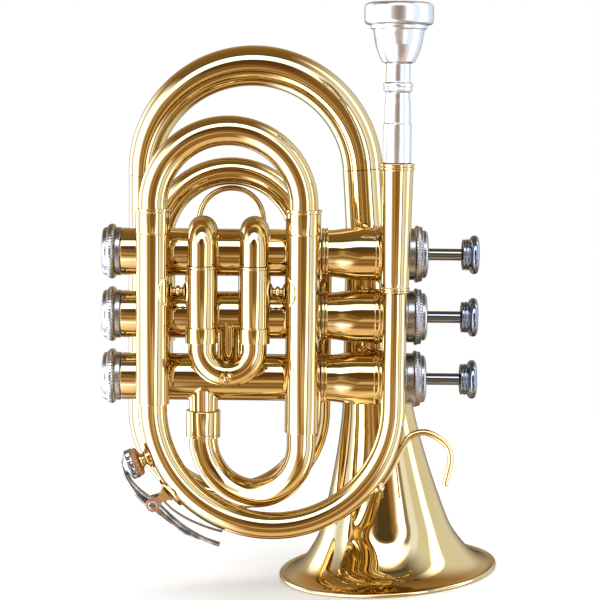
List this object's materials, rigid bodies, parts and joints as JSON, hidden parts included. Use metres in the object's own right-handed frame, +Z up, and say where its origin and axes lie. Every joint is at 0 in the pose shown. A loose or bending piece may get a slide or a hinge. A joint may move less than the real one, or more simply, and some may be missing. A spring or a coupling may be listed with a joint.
{
  "type": "pocket trumpet",
  "caption": "Small trumpet with tightly wound brass tubing, standing on its flared bell, with piston valves, pull-out slides and a cup mouthpiece.",
  "frame": {"origin": "bottom centre of the part's bounding box, in the plane of the bell's rim", "axes": "+Z up along the bell's axis, +X from the bottom valve caps towards the finger buttons, +Y from the mouthpiece side towards the bell side"},
  "size_m": [0.1626, 0.1098, 0.2435],
  "materials": {
    "lacquered_brass": "polished brass under clear gold lacquer",
    "silver_plate": "polished silver plate over brass",
    "dull_nickel": "dull nickel plate",
    "chrome": "bright nickel plate",
    "spring_steel": "drawn spring wire"
  },
  "bodies": {
    "instrument": {"mouthpiece_receiver": "lacquered_brass", "leadpipe": "lacquered_brass", "left_tuning_sleeve": "lacquered_brass", "right_tuning_sleeve": "lacquered_brass", "inlet_bow": "lacquered_brass", "inlet_ferrule": "lacquered_brass", "inlet_tube": "lacquered_brass", "first_elbow_left": "lacquered_brass", "first_elbow_right": "lacquered_brass", "first_sleeve_left": "lacquered_brass", "first_sleeve_right": "lacquered_brass", "brace_left": "lacquered_brass", "brace_right": "lacquered_brass", "valve_casing_1": "lacquered_brass", "valve_casing_2": "lacquered_brass", "valve_casing_3": "lacquered_brass", "upper_casing_1": "lacquered_brass", "upper_casing_2": "lacquered_brass", "upper_casing_3": "lacquered_brass", "bottom_cap_1": "dull_nickel", "bottom_cap_2": "dull_nickel", "bottom_cap_3": "dull_nickel", "top_cap_1": "dull_nickel", "top_cap_2": "dull_nickel", "top_cap_3": "dull_nickel", "valve_spring_1": "spring_steel", "valve_spring_2": "spring_steel", "valve_spring_3": "spring_steel", "valve_guide_1": "dull_nickel", "valve_guide_2": "dull_nickel", "valve_guide_3": "dull_nickel", "knuckle_1_2": "lacquered_brass", "knuckle_2_3": "lacquered_brass", "second_sleeve_left": "lacquered_brass", "second_sleeve_right": "lacquered_brass", "third_sleeve_left": "lacquered_brass", "third_sleeve_right": "lacquered_brass", "bell": "lacquered_brass", "bell_bow": "lacquered_brass", "tail_bow": "lacquered_brass", "outlet_tube": "lacquered_brass", "water_key_seat": "lacquered_brass", "water_key_saddle": "lacquered_brass", "pinky_hook": "lacquered_brass", "bell_brace": "lacquered_brass", "leadpipe_brace": "lacquered_brass"},
    "mouthpiece": {"mouthpiece": "silver_plate"},
    "piston_1": {"piston_1": "chrome", "finger_button_1": "chrome"},
    "piston_2": {"piston_2": "chrome", "finger_button_2": "chrome"},
    "piston_3": {"piston_3": "chrome", "finger_button_3": "chrome"},
    "tuning_slide": {"tuning_slide": "lacquered_brass"},
    "first_slide": {"first_slide": "lacquered_brass", "first_slide_knob": "lacquered_brass"},
    "second_slide": {"second_slide": "lacquered_brass"},
    "third_slide": {"third_slide": "lacquered_brass", "finger_ring": "lacquered_brass"},
    "water_key": {"water_key": "dull_nickel"}
  },
  "joints": [
    {"name": "mouthpiece_pull", "type": "slide", "parent": "instrument", "child": "mouthpiece", "axis": [0.075, 0, 0.9972], "range_m": [0, 0.02]},
    {"name": "piston_1_press", "type": "slide", "parent": "instrument", "child": "piston_1", "axis": [-0.9972, 0, 0.075], "range_m": [0, 0.0141], "stiffness_N_per_m": 110, "springref_m": -0.012, "deforming": ["valve_spring_1"]},
    {"name": "piston_2_press", "type": "slide", "parent": "instrument", "child": "piston_2", "axis": [-0.9972, 0, 0.075], "range_m": [0, 0.0141], "stiffness_N_per_m": 110, "springref_m": -0.012, "deforming": ["valve_spring_2"]},
    {"name": "piston_3_press", "type": "slide", "parent": "instrument", "child": "piston_3", "axis": [-0.9972, 0, 0.075], "range_m": [0, 0.0141], "stiffness_N_per_m": 110, "springref_m": -0.012, "deforming": ["valve_spring_3"]},
    {"name": "tuning_slide_pull", "type": "slide", "parent": "instrument", "child": "tuning_slide", "axis": [0.075, 0, 0.9972], "range_m": [0, 0.03]},
    {"name": "first_slide_pull", "type": "slide", "parent": "instrument", "child": "first_slide", "axis": [-0.075, 0, -0.9972], "range_m": [0, 0.018]},
    {"name": "second_slide_pull", "type": "slide", "parent": "instrument", "child": "second_slide", "axis": [0, 1, 0], "range_m": [0, 0.005]},
    {"name": "third_slide_pull", "type": "slide", "parent": "instrument", "child": "third_slide", "axis": [0.075, 0, 0.9972], "range_m": [0, 0.02]},
    {"name": "water_key_press", "type": "hinge", "parent": "instrument", "child": "water_key", "pos_m": [-0.06186, -0.04105, 0.0462], "axis": [0, -1, 0], "range_deg": [0, 9], "stiffness_Nm_per_rad": 0.08, "springref_deg": -22.92}
  ]
}
